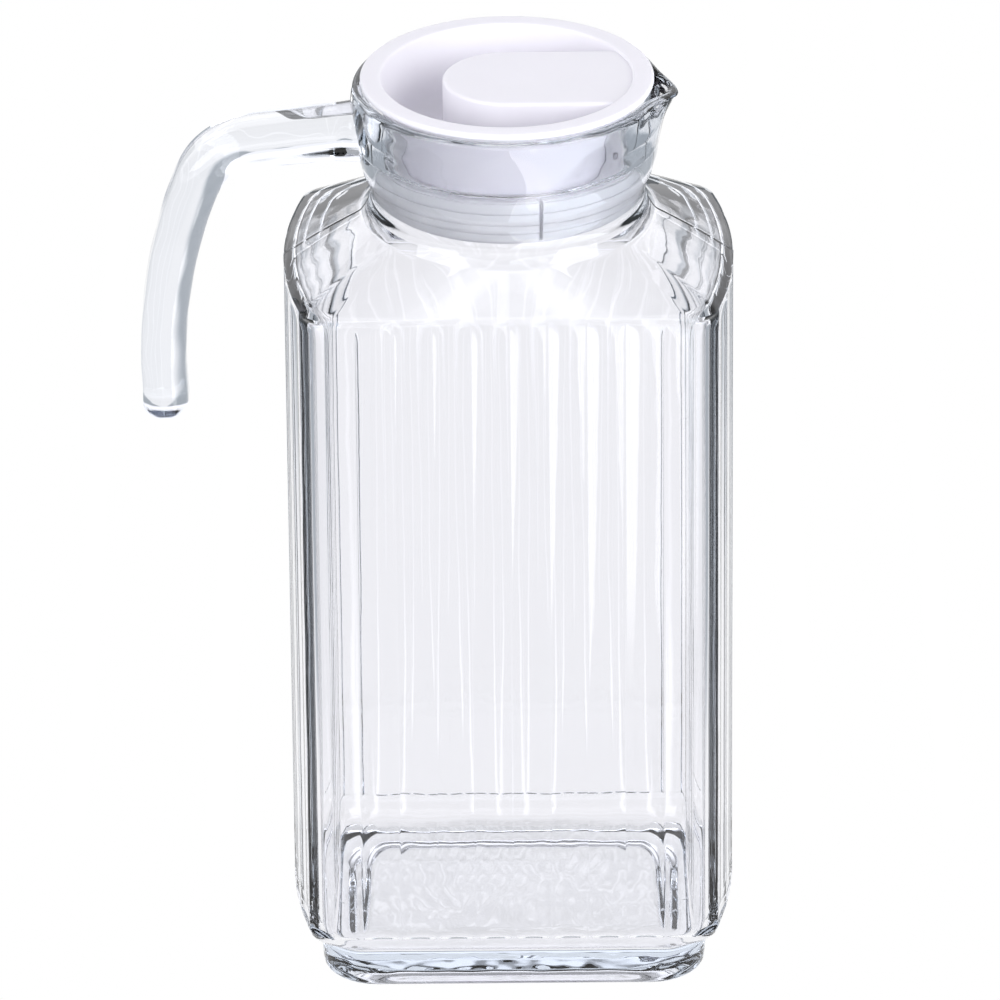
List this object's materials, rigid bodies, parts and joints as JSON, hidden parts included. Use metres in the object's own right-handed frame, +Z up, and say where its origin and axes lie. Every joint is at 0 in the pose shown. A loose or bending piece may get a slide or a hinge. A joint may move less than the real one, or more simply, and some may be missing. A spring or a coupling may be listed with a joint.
{
  "type": "large water jug",
  "caption": "Tall fluted glass water jug with a flared mouth and pouring lip, an open hanging glass handle, and a lift-off turning plastic lid with a sealing ring.",
  "frame": {"origin": "centre of the jug's resting face, on the neck's axis", "axes": "+Z up along the neck's axis, +X towards the pouring lip, handle at -X, wide face towards -Y"},
  "size_m": [0.1615, 0.0874, 0.2591],
  "materials": {
    "vessel_glass": "clear pressed soda-lime glass",
    "handle_glass": "clear solid soda-lime glass",
    "lid_plastic": "milky white polyethylene, satin",
    "ring_plastic": "softer milky white polyethylene, satin"
  },
  "bodies": {
    "jug": {"vessel": "vessel_glass", "handle": "handle_glass"},
    "plug_ring": {"seal_ring": "ring_plastic"},
    "cover": {"lid": "lid_plastic"}
  },
  "joints": [
    {"name": "lid_lift", "type": "slide", "parent": "jug", "child": "plug_ring", "axis": [0, 0, 1], "range_m": [0, 0.045]},
    {"name": "lid_turn", "type": "hinge", "parent": "plug_ring", "child": "cover", "pos_m": [0, 0, 0.2573], "axis": [0, 0, 1], "continuous": true}
  ]
}
